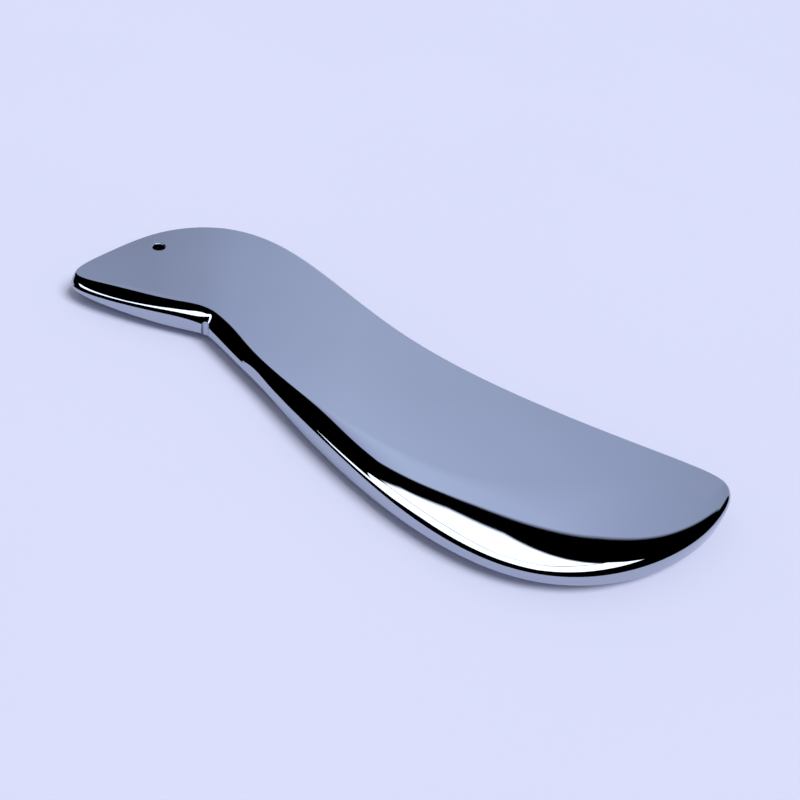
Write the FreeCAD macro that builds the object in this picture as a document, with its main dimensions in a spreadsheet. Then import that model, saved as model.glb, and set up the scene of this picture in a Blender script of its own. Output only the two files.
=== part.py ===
import FreeCAD, Part
import os

# Gua sha scraper, in millimetres: one slab of stone, ground and polished all over.
#
# The slab lies flat, its two flat faces level. +X runs from the beaked head to the paddle and +Y from
# the long ground edge to the thick back. The outline has one corner, the notch under the beak; all
# the rest is one smooth curve. The edge is the same above and below the middle plane: a rim that turns
# over a round nose into a bevel, which rises to the flat face. Bevel and rim change along the outline:
# the bevel is wide round the paddle and under the beak and narrow along the back, and the rim is high
# along the back and low at the neck and at the tip of the beak. Both faces of the head lean a little,
# so that it gets thinner from the notch towards the beak's tip.

# Driving sizes: alias, value, what it is.
SIZES = (
    ("slab_thickness", 9.0, "distance between the two flat faces"),
    ("lip_share", 0.58, "part of the rim's half height that is upright"),
    ("turn_share", 0.2, "part of the nose's width at its roundest point"),
    ("turn_height", 0.75, "part of the rim's half height at its roundest point"),
    ("shoulder_rise", 0.28, "part of the rise from rim to flat that the nose takes up"),
    ("knee_share", 0.72, "part of the slope beyond the nose at which it reaches the flat's level"),
    ("taper_x", -46.1, "a point of the line where the head starts to taper"),
    ("taper_y", -6.9, "a point of the line where the head starts to taper"),
    ("taper_heading", 221.0, "degrees from +X to the way in which the head gets thinner"),
    ("taper_angle", 2.5, "degrees by which each face of the head leans from level"),
    ("taper_lead", 6.0, "length of the tapering cutters before that line"),
    ("taper_reach", 70.0, "length of the tapering cutters"),
    ("taper_span", 120.0, "width of the tapering cutters"),
    ("taper_depth", 10.0, "height of the tapering cutters"),
    ("hole_radius", 1.75, "hanging hole"),
    ("hole_x", -79.4, "hanging hole, centre"),
    ("hole_y", 3.2, "hanging hole, centre"),
    ("hole_chamfer", 0.3, "broken edge of the hanging hole"),
    ("hole_sink", 0.8, "how far the head's tapered face lies below the slab's flat at the hole"),
    ("relief_radius", 1.3, "upright round cut that clears the corner of the notch"),
    ("relief_setback", 0.6, "distance of that cut's centre outside the corner"),
)

# Control points of the outline, from the notch counter-clockwise: name, x, y, bevel width,
# rim height, nose width.
OUTLINE = (
    ("notch", -45.8, -12.1, 3.7, 4.6, 1.5),
    ("neck", -39.1, -13.6, 2.5, 3.4, 1.0),
    ("neck_mid", -32.1, -15.7, 2.9, 3.2, 0.7),
    ("neck_low", -21.1, -18.2, 2.2, 1.6, 0.6),
    ("blade_start", -3.1, -23.5, 5.0, 6.6, 1.0),
    ("blade_mid", 16.9, -28.4, 10.5, 6.5, 1.8),
    ("blade_full", 36.9, -31.1, 16.0, 4.6, 1.8),
    ("blade_turn", 56.9, -29.3, 24.0, 3.8, 1.8),
    ("paddle_low", 72.8, -19.6, 27.0, 4.6, 1.8),
    ("paddle_side", 83.9, -3.6, 23.0, 6.4, 1.8),
    ("paddle_end", 89.0, 13.1, 12.0, 7.2, 1.6),
    ("paddle_top", 89.3, 27.8, 3.0, 7.6, 0.9),
    ("paddle_corner", 84.2, 31.4, 2.0, 8.0, 0.7),
    ("back_end", 71.4, 29.0, 2.0, 8.0, 0.7),
    ("back_long", 47.2, 23.8, 2.0, 8.0, 0.7),
    ("back_mid", 18.9, 20.0, 2.0, 8.0, 0.7),
    ("back_dip", -7.1, 20.8, 2.0, 8.0, 0.7),
    ("back_rise", -34.6, 27.7, 2.0, 8.0, 0.7),
    ("crown", -57.1, 31.7, 2.0, 8.0, 0.7),
    ("crown_back", -75.3, 26.7, 2.0, 7.8, 0.7),
    ("head_back", -87.3, 10.9, 2.4, 6.2, 0.8),
    ("head_low", -88.9, -6.9, 3.2, 3.0, 0.8),
    ("beak_tip", -89.1, -17.5, 3.0, 0.8, 0.5),
    ("beak_under", -86.3, -25.3, 4.0, 1.0, 0.8),
    ("beak_mid", -73.3, -22.9, 12.0, 3.0, 1.0),
    ("beak_base", -57.1, -16.9, 11.0, 6.0, 1.4),
    ("beak_root", -51.1, -13.7, 6.0, 6.2, 1.5),
)

DEGREE = 3
FIRST_ROW = 1


def make_sheet(doc):
    """Put every driving size and every control point of the outline in one spreadsheet."""
    sheet = doc.addObject("Spreadsheet::Sheet", "sizes")
    rows = list(SIZES)
    for name, x, y, bevel, rim, nose in OUTLINE:
        rows.append((name + "_x", x, "outline control point"))
        rows.append((name + "_y", y, "outline control point"))
        rows.append((name + "_bevel", bevel, "width of the bevel there"))
        rows.append((name + "_rim", rim, "height of the rim there"))
        rows.append((name + "_nose", nose, "width over which the rim turns into the bevel there"))
    for number, (alias, value, note) in enumerate(rows, FIRST_ROW):
        sheet.set("A%d" % number, alias)
        sheet.set("B%d" % number, str(value))
        sheet.setAlias("B%d" % number, alias)
        sheet.set("C%d" % number, note)
    doc.recompute()
    return sheet


def inward_direction(before, after):
    """Unit vector at right angles to the chord between two neighbours, towards the stone."""
    chord = (after - before).normalize()
    return FreeCAD.Vector(-chord.y, chord.x, 0)


def outline_rings(sheet):
    """Control points of the rim and of the flat face's border, both level, closed at the notch."""
    rim_ring = [FreeCAD.Vector(sheet.get(row[0] + "_x"), sheet.get(row[0] + "_y"), 0) for row in OUTLINE]
    count = len(rim_ring)
    flat_ring = []
    for number, point in enumerate(rim_ring):
        inward = inward_direction(rim_ring[number - 1], rim_ring[(number + 1) % count])
        flat_ring.append(point + inward * sheet.get(OUTLINE[number][0] + "_bevel"))
    rim_ring.append(rim_ring[0])
    flat_ring.append(flat_ring[0])
    # The corner of the notch fades out up the bevel: the flat's border passes it without a corner.
    along = (flat_ring[1] - flat_ring[-2]).normalize()
    flat_ring[1] = flat_ring[0] + along * (flat_ring[1] - flat_ring[0]).Length
    flat_ring[-2] = flat_ring[0] - along * (flat_ring[-2] - flat_ring[0]).Length
    return rim_ring, flat_ring


def edge_profile(sheet, name):
    """Control points of the edge's upper half at one place: way in from the rim, height over the middle."""
    half = sheet.slab_thickness / 2
    bevel = sheet.get(name + "_bevel")
    half_rim = sheet.get(name + "_rim") / 2
    nose = sheet.get(name + "_nose")
    knee = nose + (bevel - nose) * sheet.knee_share
    shoulder = half_rim + (half - half_rim) * sheet.shoulder_rise
    ways = (0.0, 0.0, nose * sheet.turn_share, nose, knee, bevel)
    heights = (0.0, half_rim * sheet.lip_share, half_rim * sheet.turn_height, shoulder, half, half)
    return list(zip(ways, heights))


def edge_rows(sheet):
    """Rows of control points of the ground edge, from the lower flat face round to the upper one."""
    rim_ring, flat_ring = outline_rings(sheet)
    names = [row[0] for row in OUTLINE] + [OUTLINE[0][0]]
    bevels = [sheet.get(name + "_bevel") for name in names]
    profiles = [edge_profile(sheet, name) for name in names]
    middle = sheet.slab_thickness / 2
    last = len(profiles[0]) - 1
    rows = []
    for level in range(-last, last + 1):
        side = -1 if level < 0 else 1
        row = []
        for rim_point, flat_point, bevel, profile in zip(rim_ring, flat_ring, bevels, profiles):
            way, height = profile[abs(level)]
            point = rim_point + (flat_point - rim_point) * (way / bevel)
            row.append(FreeCAD.Vector(point.x, point.y, middle + side * height))
        rows.append(row)
    return rows


def clamped_knots(pole_count):
    """Knots and multiplicities of a clamped uniform B-spline of the script's degree."""
    spans = pole_count - DEGREE
    multiplicities = [DEGREE + 1] + [1] * (spans - 1) + [DEGREE + 1]
    return list(range(spans + 1)), multiplicities


def make_blank(doc, sheet):
    """The slab without its hole: the ground edge as one surface, closed by the two flat faces."""
    rows = edge_rows(sheet)
    across_knots, across_mults = clamped_knots(len(rows))
    along_knots, along_mults = clamped_knots(len(rows[0]))
    surface = Part.BSplineSurface()
    surface.buildFromPolesMultsKnots(
        rows, across_mults, along_mults, across_knots, along_knots, False, False, DEGREE, DEGREE)
    edge_face = surface.toShape()
    faces = [edge_face]
    for height in (0.0, sheet.slab_thickness):
        border = [edge for edge in edge_face.Edges
                  if abs(edge.BoundBox.ZMin - height) + abs(edge.BoundBox.ZMax - height) < 1e-3]
        faces.append(Part.Face(Part.Wire(border)))
    shell = Part.Shell(faces)
    shell.sewShape()
    solid = Part.Solid(shell)
    if solid.Volume < 0:
        solid.reverse()
    blank = doc.addObject("Part::Feature", "blank")
    blank.Label = "blank"
    blank.Shape = solid
    blank.Placement = FreeCAD.Placement()
    return blank


def make_taper_cutter(doc, sheet, name, side):
    """A block whose one face is the head's tapered face: above the slab (side 1) or below it (side -1)."""
    cutter = doc.addObject("Part::Box", name)
    cutter.setExpression("Length", "sizes.taper_reach")
    cutter.setExpression("Width", "sizes.taper_span")
    cutter.setExpression("Height", "sizes.taper_depth")
    level = sheet.slab_thickness if side > 0 else 0.0
    lean = FreeCAD.Rotation(sheet.taper_heading, side * sheet.taper_angle, 0)
    drop = 0.0 if side > 0 else -sheet.taper_depth
    corner = FreeCAD.Vector(-sheet.taper_lead, -sheet.taper_span / 2, drop)
    start = FreeCAD.Vector(sheet.taper_x, sheet.taper_y, level)
    cutter.Placement = FreeCAD.Placement(start + lean.multVec(corner), lean)
    return cutter


def make_hole_drill(doc):
    """The hanging hole as a solid: a cylinder through the slab, wider at both mouths."""
    cylinder = doc.addObject("Part::Cylinder", "hole_core")
    cylinder.setExpression("Radius", "sizes.hole_radius")
    cylinder.setExpression("Height", "sizes.slab_thickness")
    cylinder.setExpression("Placement.Base.x", "sizes.hole_x")
    cylinder.setExpression("Placement.Base.y", "sizes.hole_y")
    lower = doc.addObject("Part::Cone", "lower_mouth")
    lower.setExpression("Radius1", "sizes.hole_radius + sizes.hole_chamfer + sizes.hole_sink")
    lower.setExpression("Radius2", "sizes.hole_radius")
    upper = doc.addObject("Part::Cone", "upper_mouth")
    upper.setExpression("Radius1", "sizes.hole_radius")
    upper.setExpression("Radius2", "sizes.hole_radius + sizes.hole_chamfer + sizes.hole_sink")
    upper.setExpression("Placement.Base.z", "sizes.slab_thickness - sizes.hole_chamfer - sizes.hole_sink")
    for cone in (lower, upper):
        cone.setExpression("Height", "sizes.hole_chamfer + sizes.hole_sink")
        cone.setExpression("Placement.Base.x", "sizes.hole_x")
        cone.setExpression("Placement.Base.y", "sizes.hole_y")
    drill = doc.addObject("Part::MultiFuse", "hole_drill")
    drill.Shapes = [cylinder, lower, upper]
    return drill


def make_relief_cutter(doc):
    """The upright round cutter that clears the corner of the notch."""
    cutter = doc.addObject("Part::Cylinder", "relief_cutter")
    cutter.setExpression("Radius", "sizes.relief_radius")
    cutter.setExpression("Height", "sizes.slab_thickness")
    cutter.setExpression("Placement.Base.x", "sizes.notch_x")
    cutter.setExpression("Placement.Base.y", "sizes.notch_y - sizes.relief_setback")
    return cutter


def make_scraper_body(doc, sheet):
    """The whole scraper: the blank, tapered at the head, drilled for hanging, cleared at the notch."""
    tapered = make_blank(doc, sheet)
    for name, side in (("upper_taper", 1), ("lower_taper", -1)):
        cut = doc.addObject("Part::Cut", name)
        cut.Base = tapered
        cut.Tool = make_taper_cutter(doc, sheet, name + "_cutter", side)
        tapered = cut
    drilled = doc.addObject("Part::Cut", "drilled_blank")
    drilled.Base = tapered
    drilled.Tool = make_hole_drill(doc)
    body = doc.addObject("Part::Cut", "scraper_body")
    body.Label = "scraper_body"
    body.Base = drilled
    body.Tool = make_relief_cutter(doc)
    return body


def check_document(doc, parts):
    """Stop if any object failed or any sub-part's shape is missing, not valid or not one solid."""
    for item in doc.Objects:
        if "Invalid" in item.State or "Error" in item.State:
            raise RuntimeError("%s failed: %s" % (item.Label, item.State))
    for part in parts:
        shape = part.Shape
        if shape.isNull() or not shape.isValid() or len(shape.Solids) != 1:
            raise RuntimeError("%s has no valid single solid" % part.Label)


def write_parts(parts):
    """Write each sub-part to its own STEP file, named after its label."""
    os.makedirs("parts", exist_ok=True)
    for part in parts:
        part.Shape.exportStep("parts/%s.step" % part.Label)
        box = part.Shape.optimalBoundingBox(False, False)
        print("%s: %.2f x %.2f x %.2f mm, %.2f cm3"
              % (part.Label, box.XLength, box.YLength, box.ZLength, part.Shape.Volume / 1000))
        print("  x %.2f to %.2f, y %.2f to %.2f, z %.2f to %.2f"
              % (box.XMin, box.XMax, box.YMin, box.YMax, box.ZMin, box.ZMax))


def main():
    doc = FreeCAD.newDocument("gua_sha_scraper")
    sheet = make_sheet(doc)
    parts = [make_scraper_body(doc, sheet)]
    doc.recompute()
    check_document(doc, parts)
    write_parts(parts)


main()
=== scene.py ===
import math

import bmesh
import bpy
import numpy as np
from mathutils import Matrix, Vector

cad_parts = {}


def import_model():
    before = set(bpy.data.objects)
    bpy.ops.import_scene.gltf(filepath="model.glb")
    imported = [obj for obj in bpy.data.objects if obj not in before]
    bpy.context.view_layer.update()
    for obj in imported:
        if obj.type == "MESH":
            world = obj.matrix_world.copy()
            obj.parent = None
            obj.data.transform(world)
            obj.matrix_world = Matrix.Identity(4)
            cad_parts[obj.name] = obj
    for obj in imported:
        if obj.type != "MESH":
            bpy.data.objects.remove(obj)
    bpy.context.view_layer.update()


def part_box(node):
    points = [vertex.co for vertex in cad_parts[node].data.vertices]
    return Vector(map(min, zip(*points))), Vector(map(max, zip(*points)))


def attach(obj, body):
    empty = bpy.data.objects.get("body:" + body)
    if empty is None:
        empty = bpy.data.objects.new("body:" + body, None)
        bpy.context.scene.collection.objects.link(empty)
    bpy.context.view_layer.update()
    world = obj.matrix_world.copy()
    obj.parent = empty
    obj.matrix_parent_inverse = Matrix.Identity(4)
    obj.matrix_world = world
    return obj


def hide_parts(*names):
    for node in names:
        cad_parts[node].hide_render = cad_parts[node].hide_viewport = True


# Gua sha scraper: one slab of dark mirror-polished stone, lying flat on a pale floor.
#
# The stone's surface is the one of the CAD part, made again as a dense mesh, so that its reflections
# run smoothly: a ground edge that turns from an upright rim into a bevel and then into the flat face.
#
# The stone mirrors two overhead softboxes and a backdrop. They are hidden from the camera, from diffuse
# light and from shadows, and they are shaped for this one camera angle. A sun and an even world light,
# which the stone doesn't mirror, light the floor.

MM = 0.001
DEGREE = 3             # of the ground edge's B-spline surface, both ways

# Control points of the outline, from the notch counter-clockwise, in mm, the same as the CAD part's:
# x, y, bevel width, rim height, nose width.
OUTLINE = (
    (-45.8, -12.1, 3.7, 4.6, 1.5),   # notch
    (-39.1, -13.6, 2.5, 3.4, 1.0),   # neck
    (-32.1, -15.7, 2.9, 3.2, 0.7),   # neck mid
    (-21.1, -18.2, 2.2, 1.6, 0.6),   # neck low
    (-3.1, -23.5, 5.0, 6.6, 1.0),   # blade start
    (16.9, -28.4, 10.5, 6.5, 1.8),   # blade mid
    (36.9, -31.1, 16.0, 4.6, 1.8),   # blade full
    (56.9, -29.3, 24.0, 3.8, 1.8),   # blade turn
    (72.8, -19.6, 27.0, 4.6, 1.8),   # paddle low
    (83.9, -3.6, 23.0, 6.4, 1.8),   # paddle side
    (89.0, 13.1, 12.0, 7.2, 1.6),   # paddle end
    (89.3, 27.8, 3.0, 7.6, 0.9),   # paddle top
    (84.2, 31.4, 2.0, 8.0, 0.7),   # paddle corner
    (71.4, 29.0, 2.0, 8.0, 0.7),   # back end
    (47.2, 23.8, 2.0, 8.0, 0.7),   # back long
    (18.9, 20.0, 2.0, 8.0, 0.7),   # back mid
    (-7.1, 20.8, 2.0, 8.0, 0.7),   # back dip
    (-34.6, 27.7, 2.0, 8.0, 0.7),   # back rise
    (-57.1, 31.7, 2.0, 8.0, 0.7),   # crown
    (-75.3, 26.7, 2.0, 7.8, 0.7),   # crown back
    (-87.3, 10.9, 2.4, 6.2, 0.8),   # head back
    (-88.9, -6.9, 3.2, 3.0, 0.8),   # head low
    (-89.1, -17.5, 3.0, 0.8, 0.5),   # beak tip
    (-86.3, -25.3, 4.0, 1.0, 0.8),   # beak under
    (-73.3, -22.9, 12.0, 3.0, 1.0),   # beak mid
    (-57.1, -16.9, 11.0, 6.0, 1.4),   # beak base
    (-51.1, -13.7, 6.0, 6.2, 1.5),   # beak root
)
THICKNESS = 9.0
LIP_SHARE = 0.58
TURN_SHARE = 0.2
TURN_HEIGHT = 0.75
SHOULDER_RISE = 0.28
KNEE_SHARE = 0.72

# Both faces of the head lean from this line on, so that the head gets thinner towards the beak.
TAPER_START = (-46.1, -6.9)
TAPER_HEADING = math.radians(221)
TAPER_ANGLE = math.radians(2.5)
TAPER_BLEND = 0.2      # mm, rounds the line itself
TAPER_STEP = 0.4       # mm, spacing of the mesh lines that carry this rounding

HOLE_CENTRE = (-79.4, 3.2)
HOLE_RADIUS = 1.75
HOLE_ROUNDING = 0.3
HOLE_SINK = 0.8        # the tapered face lies this far below the flat there
RELIEF_RADIUS = 1.3
RELIEF_SETBACK = 0.6

SAMPLES_ALONG = 38     # mesh columns in each span of the outline
SAMPLES_ACROSS = 12    # mesh rows in each span of the edge
CAP_INSET = 0.15       # mm, a narrow ring of the flat that keeps the flat's shading level
LEVEL_NORMAL = 0.99    # a face whose normal is more upright than this counts as level
LATHE_SEGMENTS = 96
SHARP_ANGLE = math.radians(32)
WIDE_FACE = 1e-4       # square metres; larger faces are shaded as true planes


# ---------------------------------------------------------------- surface of the stone

def clamped_knots(pole_count):
    spans = pole_count - DEGREE
    return np.array([0] * DEGREE + list(range(spans + 1)) + [spans] * DEGREE, float)


def spline_weights(pole_count, parameters):
    """Weights of every control point of a clamped cubic B-spline at each parameter."""
    knots = clamped_knots(pole_count)
    last = pole_count - DEGREE - 1
    span = np.minimum(parameters.astype(int), last) + DEGREE
    weights = np.zeros((len(parameters), pole_count + DEGREE))
    weights[np.arange(len(parameters)), span] = 1.0
    for degree in range(1, DEGREE + 1):
        raised = np.zeros_like(weights)
        for pole in range(pole_count + DEGREE - degree):
            left = knots[pole + degree] - knots[pole]
            right_end = pole + degree + 1
            if left > 0:
                raised[:, pole] += (parameters - knots[pole]) / left * weights[:, pole]
            if right_end < len(knots) and knots[right_end] > knots[pole + 1]:
                right = knots[right_end] - knots[pole + 1]
                raised[:, pole] += (knots[right_end] - parameters) / right * weights[:, pole + 1]
        weights = raised
    return weights[:, :pole_count]


def control_rows():
    """Control points of the ground edge: rows from the lower flat round to the upper one, closed."""
    table = np.array(OUTLINE + (OUTLINE[0],))
    rim, bevel, half_rim, nose = table[:, :2], table[:, 2], table[:, 3] / 2, table[:, 4]
    chord = np.empty_like(rim)
    chord[1:-1] = rim[2:] - rim[:-2]
    chord[0] = chord[-1] = rim[1] - rim[-2]
    chord /= np.linalg.norm(chord, axis=1)[:, None]
    inward = np.stack([-chord[:, 1], chord[:, 0]], axis=1)
    flat = rim + bevel[:, None] * inward
    # The corner of the notch fades out up the bevel.
    along = (flat[1] - flat[-2]) / np.linalg.norm(flat[1] - flat[-2])
    flat[1] = flat[0] + along * np.linalg.norm(flat[1] - flat[0])
    flat[-2] = flat[0] - along * np.linalg.norm(flat[-2] - flat[0])

    half = THICKNESS / 2
    knee = nose + (bevel - nose) * KNEE_SHARE
    shoulder = half_rim + (half - half_rim) * SHOULDER_RISE
    level = np.full_like(bevel, half)
    ways = (0 * bevel, 0 * bevel, nose * TURN_SHARE, nose, knee, bevel)
    heights = (0 * bevel, half_rim * LIP_SHARE, half_rim * TURN_HEIGHT, shoulder, level, level)
    last = len(ways) - 1
    rows = []
    for number in range(-last, last + 1):
        side = -1 if number < 0 else 1
        share = (ways[abs(number)] / bevel)[:, None]
        plan = rim + (flat - rim) * share
        rows.append(np.column_stack([plan, half + side * heights[abs(number)]]))
    return np.array(rows)


def edge_grid():
    """Points of the ground edge, rows x columns x 3; the last column would repeat the first."""
    rows = control_rows()
    across_spans = rows.shape[0] - DEGREE
    along_spans = rows.shape[1] - DEGREE
    across = np.linspace(0, across_spans, across_spans * SAMPLES_ACROSS + 1)
    along = np.linspace(0, along_spans, along_spans * SAMPLES_ALONG + 1)[:-1]
    across_weights = spline_weights(rows.shape[0], across)
    along_weights = spline_weights(rows.shape[1], along)
    return np.einsum("ai,ijk,bj->abk", across_weights, rows, along_weights)


def inset_ring(ring, distance):
    """The same level ring moved towards the stone."""
    chord = np.roll(ring, -1, axis=0) - np.roll(ring, 1, axis=0)
    chord /= np.linalg.norm(chord, axis=1)[:, None]
    moved = ring.copy()
    moved[:, 0] -= chord[:, 1] * distance
    moved[:, 1] += chord[:, 0] * distance
    return moved


def mesh_object(name, points, faces):
    mesh = bpy.data.meshes.new(name)
    mesh.from_pydata([tuple(p) for p in points], [], faces)
    mesh.update()
    piece = bpy.data.objects.new(name, mesh)
    bpy.context.scene.collection.objects.link(piece)
    return piece


def slab_blank():
    """The slab before it is drilled, as one closed mesh in metres."""
    grid = edge_grid()
    rings = [inset_ring(grid[0], CAP_INSET)] + list(grid) + [inset_ring(grid[-1], CAP_INSET)]
    count = len(rings[0])
    faces = []
    for row in range(len(rings) - 1):
        for column in range(count):
            after = (column + 1) % count
            faces.append((row * count + column, row * count + after,
                          (row + 1) * count + after, (row + 1) * count + column))
    top_start = (len(rings) - 1) * count
    faces.append(tuple(reversed(range(count))))
    faces.append(tuple(range(top_start, top_start + count)))
    return mesh_object("polished_slab", np.concatenate(rings) * MM, faces)


def taper_way(x, y):
    """Distance past the line where the head starts to taper, in mm."""
    return ((x - TAPER_START[0]) * math.cos(TAPER_HEADING)
            + (y - TAPER_START[1]) * math.sin(TAPER_HEADING))


def blended_minimum(first, second, blend):
    """The smaller of two numbers, rounded off where they are closer than the blend."""
    overlap = max(blend - abs(first - second), 0.0)
    return min(first, second) - overlap * overlap / (4 * blend)


def taper_head(piece):
    """Lower both faces of the head to their tapered planes."""
    heading = Vector((math.cos(TAPER_HEADING), math.sin(TAPER_HEADING), 0.0))
    start = Vector((*TAPER_START, 0.0))
    shape = bmesh.new()
    shape.from_mesh(piece.data)
    reach = TAPER_BLEND / math.tan(TAPER_ANGLE)
    steps = math.ceil(reach / TAPER_STEP)
    for step in range(-steps, steps + 1):
        caps = [face for face in shape.faces
                if len(face.verts) > 4 and abs(face.normal.z) > LEVEL_NORMAL]
        geometry = set(caps)
        for face in caps:
            geometry.update(face.edges)
            geometry.update(face.verts)
        place = (start + heading * (step * TAPER_STEP)) * MM
        bmesh.ops.bisect_plane(shape, geom=list(geometry), plane_co=place, plane_no=heading)
    half = THICKNESS / 2
    for vertex in shape.verts:
        height = vertex.co.z / MM - half
        limit = half - taper_way(vertex.co.x / MM, vertex.co.y / MM) * math.tan(TAPER_ANGLE)
        lowered = blended_minimum(abs(height), limit, TAPER_BLEND)
        vertex.co.z = (half + math.copysign(lowered, height)) * MM
    shape.to_mesh(piece.data)
    shape.free()


def lathe(name, centre, profile):
    """A closed solid of revolution about a vertical axis; the profile is (radius, height) in mm."""
    segments = LATHE_SEGMENTS
    points = []
    for radius, height in profile:
        for step in range(segments):
            turn = 2 * math.pi * step / segments
            points.append(((centre[0] + radius * math.cos(turn)) * MM,
                           (centre[1] + radius * math.sin(turn)) * MM, height * MM))
    faces = []
    for row in range(len(profile) - 1):
        for step in range(segments):
            after = (step + 1) % segments
            faces.append((row * segments + step, row * segments + after,
                          (row + 1) * segments + after, (row + 1) * segments + step))
    top_start = (len(profile) - 1) * segments
    faces.append(tuple(reversed(range(segments))))
    faces.append(tuple(range(top_start, top_start + segments)))
    return mesh_object(name, points, faces)


def hole_profile():
    """Hole with rounded mouths, running past both faces of the head."""
    beyond = 2.0
    steps = 5
    lower = []
    for step in range(steps + 1):
        turn = math.pi / 2 * step / steps
        lower.append((HOLE_RADIUS + HOLE_ROUNDING * (1 - math.sin(turn)),
                      HOLE_SINK + HOLE_ROUNDING * (1 - math.cos(turn))))
    upper = [(radius, THICKNESS - height) for radius, height in reversed(lower)]
    wide = HOLE_RADIUS + HOLE_ROUNDING
    return [(wide, -beyond)] + lower + upper + [(wide, THICKNESS + beyond)]


def cut_away(piece, cutter):
    """Take the cutter's solid out of the piece, and remove the cutter."""
    boolean = piece.modifiers.new("cut", "BOOLEAN")
    boolean.operation = "DIFFERENCE"
    boolean.solver = "EXACT"
    boolean.object = cutter
    evaluated = piece.evaluated_get(bpy.context.evaluated_depsgraph_get())
    result = bpy.data.meshes.new_from_object(evaluated)
    piece.modifiers.clear()
    piece.data = result
    bpy.data.objects.remove(cutter)


def shade_edges(mesh, angle):
    """Smooth shading, with the edges sharper than the angle kept sharp and the wide faces kept level."""
    for polygon in mesh.polygons:
        polygon.use_smooth = True
    mesh.set_sharp_from_angle(angle=angle)
    normals = [tuple(corner.vector) for corner in mesh.corner_normals]
    for polygon in mesh.polygons:
        if polygon.area > WIDE_FACE:
            for corner in polygon.loop_indices:
                normals[corner] = tuple(polygon.normal)
    mesh.normals_split_custom_set(normals)


def hole_cutter():
    """Cutter for the hanging hole, its mouths leaning with the head's faces."""
    cutter = lathe("hole_cutter", HOLE_CENTRE, hole_profile())
    middle = THICKNESS / 2 * MM
    for vertex in cutter.data.vertices:
        way = taper_way(vertex.co.x / MM, vertex.co.y / MM) - taper_way(*HOLE_CENTRE)
        vertex.co.z -= math.copysign(way * math.tan(TAPER_ANGLE) * MM, vertex.co.z - middle)
    return cutter


def relief_cutter():
    """Upright round cutter that clears the corner of the notch."""
    beyond = 1.0
    notch_x, notch_y = OUTLINE[0][:2]
    profile = [(RELIEF_RADIUS, -beyond), (RELIEF_RADIUS, THICKNESS + beyond)]
    return lathe("relief_cutter", (notch_x, notch_y - RELIEF_SETBACK), profile)


def polished_slab():
    """The finished slab, in metres."""
    piece = slab_blank()
    taper_head(piece)
    cut_away(piece, hole_cutter())
    cut_away(piece, relief_cutter())
    shade_edges(piece.data, SHARP_ANGLE)
    return piece


# ---------------------------------------------------------------- materials

def new_material(name):
    material = bpy.data.materials.new(name)
    material.use_nodes = True
    nodes = material.node_tree.nodes
    nodes.clear()
    output = nodes.new("ShaderNodeOutputMaterial")
    return material, nodes, material.node_tree.links, output


def noise(nodes, links, scale, detail=3.0, roughness=0.5):
    """Noise in object space; the scale is in features per metre."""
    place = nodes.new("ShaderNodeTexCoord")
    texture = nodes.new("ShaderNodeTexNoise")
    texture.inputs["Scale"].default_value = scale
    texture.inputs["Detail"].default_value = detail
    texture.inputs["Roughness"].default_value = roughness
    links.new(place.outputs["Object"], texture.inputs["Vector"])
    return texture.outputs["Fac"]


def ramp(nodes, links, source, stops):
    """Colour ramp with (position, colour) stops."""
    block = nodes.new("ShaderNodeValToRGB")
    elements = block.color_ramp.elements
    while len(elements) < len(stops):
        elements.new(1.0)
    for element, (position, colour) in zip(elements, stops):
        element.position = position
        element.color = (*colour, 1.0)
    links.new(source, block.inputs["Fac"])
    return block.outputs["Color"]


def grey(value):
    return (value, value, value)


def stone_material():
    """Dark mirror-polished stone: no body colour of its own to see, a cool half-silvered reflection."""
    material, nodes, links, output = new_material("polished_stone")
    shader = nodes.new("ShaderNodeBsdfPrincipled")
    shader.inputs["Metallic"].default_value = 1.0
    cloud = noise(nodes, links, scale=38.0, detail=4.0)
    tint = ramp(nodes, links, cloud, ((0.35, (0.425, 0.468, 0.552)), (0.65, (0.440, 0.482, 0.566))))
    links.new(tint, shader.inputs["Base Color"])
    haze = noise(nodes, links, scale=900.0, detail=2.0)
    gloss = ramp(nodes, links, haze, ((0.3, grey(0.010)), (0.8, grey(0.028))))
    links.new(gloss, shader.inputs["Roughness"])
    wave = noise(nodes, links, scale=70.0, detail=1.0)
    wave_height = 0.00001      # metres
    bump = nodes.new("ShaderNodeBump")
    bump.inputs["Strength"].default_value = 1.0
    bump.inputs["Distance"].default_value = wave_height
    links.new(wave, bump.inputs["Height"])
    links.new(bump.outputs["Normal"], shader.inputs["Normal"])
    links.new(shader.outputs["BSDF"], output.inputs["Surface"])
    return material


def floor_material():
    """Matt, pale, cool floor with a faint mottle."""
    material, nodes, links, output = new_material("pale_floor")
    shader = nodes.new("ShaderNodeBsdfPrincipled")
    shader.inputs["Roughness"].default_value = 0.8
    shader.inputs["Specular IOR Level"].default_value = 0.1
    mottle = noise(nodes, links, scale=6.0)
    tint = ramp(nodes, links, mottle, ((0.3, (0.675, 0.705, 0.925)), (0.7, (0.685, 0.715, 0.935))))
    links.new(tint, shader.inputs["Base Color"])
    links.new(shader.outputs["BSDF"], output.inputs["Surface"])
    return material


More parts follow.
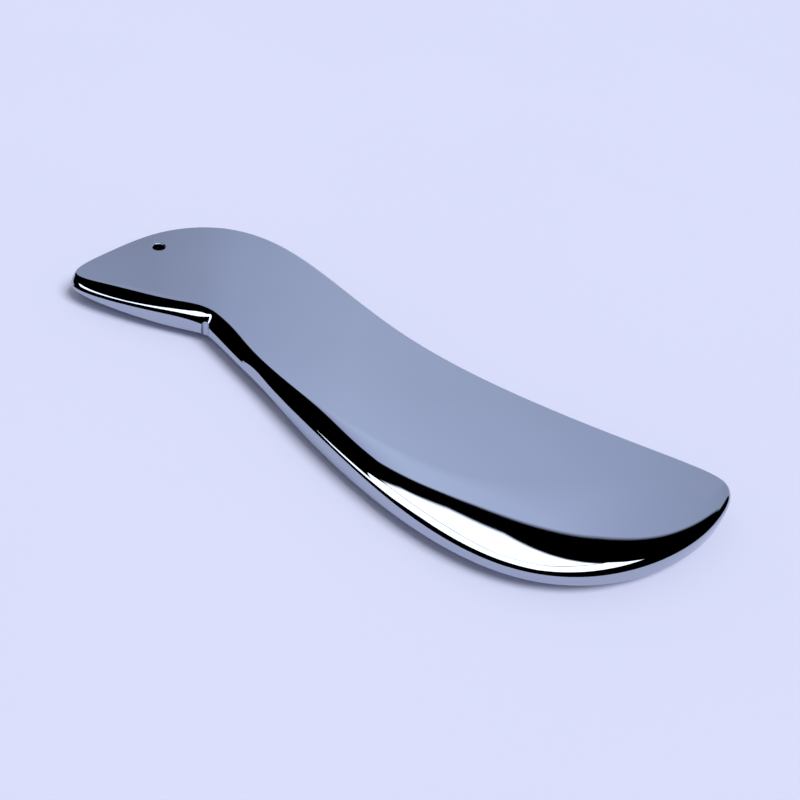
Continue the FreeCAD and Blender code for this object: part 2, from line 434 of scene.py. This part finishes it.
def glow_material(name, strength, stops, span):
    """A glow that fades over a sheet's soft border and grows with height; its colour runs along x.

    The span is the stretch of x, in metres, that the colour stops cover.
    """
    low, high = 0.7, 1.3                   # metres, the heights between which the glow grows
    low_strength = strength * 0.92
    high_strength = strength * 1.16
    material, nodes, links, output = new_material(name)
    glow = nodes.new("ShaderNodeEmission")
    place = nodes.new("ShaderNodeTexCoord")
    parts = nodes.new("ShaderNodeSeparateXYZ")
    links.new(place.outputs["Object"], parts.inputs["Vector"])
    share = nodes.new("ShaderNodeMapRange")
    share.inputs["From Min"].default_value = span[0]
    share.inputs["From Max"].default_value = span[1]
    links.new(parts.outputs["X"], share.inputs["Value"])
    links.new(ramp(nodes, links, share.outputs["Result"], stops), glow.inputs["Color"])
    border = nodes.new("ShaderNodeAttribute")
    border.attribute_name = "core"
    rise = nodes.new("ShaderNodeMapRange")
    rise.inputs["From Min"].default_value = low
    rise.inputs["From Max"].default_value = high
    rise.inputs["To Min"].default_value = low_strength
    rise.inputs["To Max"].default_value = high_strength
    links.new(parts.outputs["Z"], rise.inputs["Value"])
    fade = nodes.new("ShaderNodeMath")
    fade.operation = "MULTIPLY"
    links.new(border.outputs["Fac"], fade.inputs[0])
    links.new(rise.outputs["Result"], fade.inputs[1])
    links.new(fade.outputs["Value"], glow.inputs["Strength"])
    links.new(glow.outputs["Emission"], output.inputs["Surface"])
    return material


# ---------------------------------------------------------------- studio

def grown(corners, margin):
    """The same polygon with its sides moved outwards by the margin, and less at very sharp corners."""
    least_lean = 0.5       # keeps a sharp corner from shooting out
    points = [Vector(corner) for corner in corners]
    result = []
    for number, point in enumerate(points):
        before = (point - points[number - 1]).normalized()
        after = (points[(number + 1) % len(points)] - point).normalized()
        outward = Vector((before.y + after.y, -before.x - after.x)).normalized()
        lean = max(outward.dot(Vector((before.y, -before.x))), least_lean)
        result.append(point + outward * (margin / lean))
    return result


def glowing_sheet(name, corners, margin, lift, material):
    """A glowing polygon with a soft border, there to be mirrored: no camera or shadow ray sees it.

    The corners run counter-clockwise in a plane of their own, and lift() puts them in the room.
    """
    count = len(corners)
    core = [Vector(corner) for corner in corners]
    points = [lift(point) for point in core + grown(corners, margin)]
    faces = [tuple(range(count))]
    for number in range(count):
        after = (number + 1) % count
        faces.append((number, number + count, after + count, after))
    sheet = mesh_object(name, points, faces)
    share = sheet.data.attributes.new("core", "FLOAT", "POINT")
    share.data.foreach_set("value", [1.0] * count + [0.0] * count)
    sheet.data.materials.append(material)
    sheet.visible_camera = False
    sheet.visible_diffuse = False
    sheet.visible_shadow = False


def softboxes():
    """Two overhead panels side by side, with a narrow gap between them.

    The corners are in metres. They are placed so that, from this camera, the light and dark bands in
    the stone fall about where the photograph has them.
    """
    strength = 3.0
    height = 0.6
    far_border, near_border = 0.014, 0.003
    white = (0.94, 0.97, 1.0)
    glow = glow_material("softbox_glow", strength, ((0.0, white), (1.0, white)), (-1.0, 1.0))

    def overhead(point):
        return (point.x, point.y, height)

    far_panel = ((-0.200, 0.045), (-0.08, 0.085), (0.02, 0.075), (0.09, 0.135), (0.13, 0.262),
                 (-0.03, 0.262), (-0.10, 0.215), (-0.165, 0.135))
    glowing_sheet("far_softbox", far_panel, far_border, overhead, glow)
    near_panel = ((-0.200, 0.025), (-0.27, -0.09), (-0.33, -0.32), (-0.65, -0.54), (-0.92, -0.68),
                  (-0.92, -0.84), (-0.62, -0.71), (-0.33, -0.51), (-0.15, -0.26), (0.30, -0.24),
                  (0.30, 0.285), (0.150, 0.285), (0.109, 0.127), (0.026, 0.056), (-0.08, 0.066))
    glowing_sheet("near_softbox", near_panel, near_border, overhead, glow)


def backdrop():
    """A pale sheet behind the stone, cut on the slant, brightest in the middle.

    Its corners are in metres, as x and height.
    """
    strength = 1.0
    distance = 0.9
    border = 0.035
    stops = ((0.0, (0.46, 0.50, 0.66)), (0.2, (0.60, 0.655, 0.86)), (0.4, (0.72, 0.79, 1.0)),
             (0.73, (0.66, 0.72, 0.94)), (0.83, (0.57, 0.62, 0.82)), (1.0, (0.52, 0.57, 0.75)))
    glow = glow_material("backdrop_glow", strength, stops, (-1.2, 0.3))

    def upright(point):
        return (point.x, distance, point.y)

    corners = ((-2.5, 0.0), (0.60, 0.0), (0.60, 0.74), (0.0, 1.27), (-0.95, 2.31), (-2.5, 2.31))
    glowing_sheet("backdrop", corners, border, upright, glow)


def floor_lamp():
    """A wide sun that lights the floor and gives the soft shadow; the stone doesn't mirror it."""
    data = bpy.data.lights.new("floor_lamp", "SUN")
    data.angle = math.radians(34)
    data.energy = 2.4
    lamp = bpy.data.objects.new("floor_lamp", data)
    lamp.location = (1.15, 0.15, 1.9)
    lamp.rotation_euler = (Vector((0, 0, 0)) - lamp.location).to_track_quat("-Z", "Y").to_euler()
    lamp.visible_glossy = False
    bpy.context.scene.collection.objects.link(lamp)


def pale_room():
    """An even pale light on the floor, which the stone doesn't mirror, and a pale wall to the camera."""
    world = bpy.data.worlds.new("pale_room")
    world.use_nodes = True
    nodes, links = world.node_tree.nodes, world.node_tree.links
    fill = nodes["Background"]
    fill.inputs["Color"].default_value = (0.38, 0.38, 0.38, 1.0)
    wall = nodes.new("ShaderNodeBackground")
    wall.inputs["Color"].default_value = (0.70, 0.72, 0.90, 1.0)
    path = nodes.new("ShaderNodeLightPath")
    choice = nodes.new("ShaderNodeMixShader")
    links.new(path.outputs["Is Camera Ray"], choice.inputs["Fac"])
    links.new(fill.outputs["Background"], choice.inputs[1])
    links.new(wall.outputs["Background"], choice.inputs[2])
    links.new(choice.outputs["Shader"], nodes["World Output"].inputs["Surface"])
    bpy.context.scene.world = world
    world.cycles_visibility.glossy = False


def build_studio():
    """Floor, sheets and lights; none of them is part of the scraper."""
    half = 3.0
    corners = [(-half, -half, 0), (half, -half, 0), (half, half, 0), (-half, half, 0)]
    floor = mesh_object("floor", corners, [(0, 1, 2, 3)])
    floor.data.materials.append(floor_material())
    softboxes()
    backdrop()
    floor_lamp()
    pale_room()


def place_camera(centre):
    """Camera above the blade's side, turned a little about its own axis."""
    azimuth = math.radians(-61.03)
    elevation = math.radians(40.06)
    roll = math.radians(10.27)
    distance = 0.2381
    target = centre + Vector((0.0083, 0.0018, 0.0))
    back = Vector((math.cos(azimuth) * math.cos(elevation),
                   math.sin(azimuth) * math.cos(elevation), math.sin(elevation)))
    level_right = Vector((0, 0, 1)).cross(back).normalized()
    level_up = back.cross(level_right)
    right = level_right * math.cos(roll) + level_up * math.sin(roll)
    up = back.cross(right)
    data = bpy.data.cameras.new("camera")
    data.lens = 42.14
    data.sensor_width = 36.0
    data.clip_start = 0.01
    camera = bpy.data.objects.new("camera", data)
    place = Matrix((right, up, back)).transposed().to_4x4()
    place.translation = target + back * distance
    camera.matrix_world = place
    bpy.context.scene.collection.objects.link(camera)
    bpy.context.scene.camera = camera


def main():
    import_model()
    low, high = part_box("scraper_body")
    slab = polished_slab()
    slab.data.materials.clear()
    slab.data.materials.append(stone_material())
    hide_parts("scraper_body")
    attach(slab, "root")
    build_studio()
    place_camera((low + high) / 2)
    bpy.context.scene.view_settings.view_transform = "Standard"


main()
